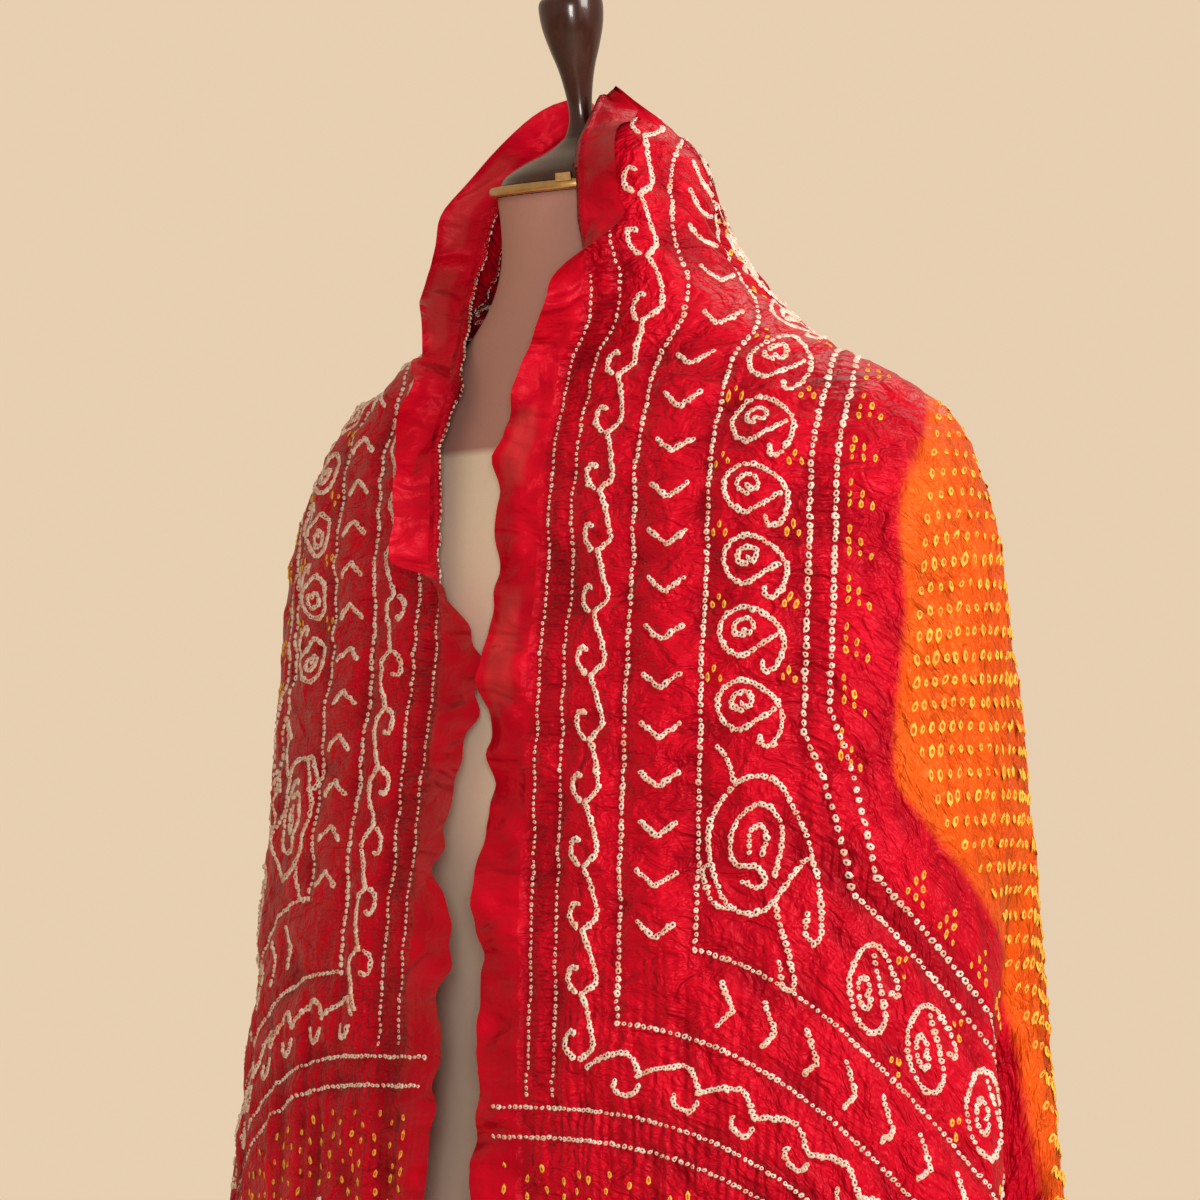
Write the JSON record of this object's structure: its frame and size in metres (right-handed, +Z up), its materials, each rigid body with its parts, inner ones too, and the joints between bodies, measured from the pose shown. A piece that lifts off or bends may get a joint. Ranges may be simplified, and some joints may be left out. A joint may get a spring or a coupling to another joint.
{
  "type": "bandhani shawl on a dress form",
  "caption": "Long tie-dyed shawl draped over the shoulders of a plain dress form, one edge standing as a collar, on a pole with a round foot.",
  "frame": {"origin": "middle of the underside of the stand's foot, on the floor", "axes": "+Z up, -Y the front of the dress form, +X the form's own left"},
  "size_m": [0.5842, 0.346, 1.5676],
  "materials": {
    "shawl_fabric": "crinkled tie-dyed silk, red border on an orange field",
    "form_cover": "smooth stretched jersey",
    "ring_metal": "polished",
    "dark_wood": "dark glossy varnish"
  },
  "bodies": {
    "root": {"cloth": "shawl_fabric", "dress_form": "form_cover", "neck_ring": "ring_metal", "finial": "dark_wood", "pole": "dark_wood", "foot": "dark_wood"}
  },
  "joints": []
}
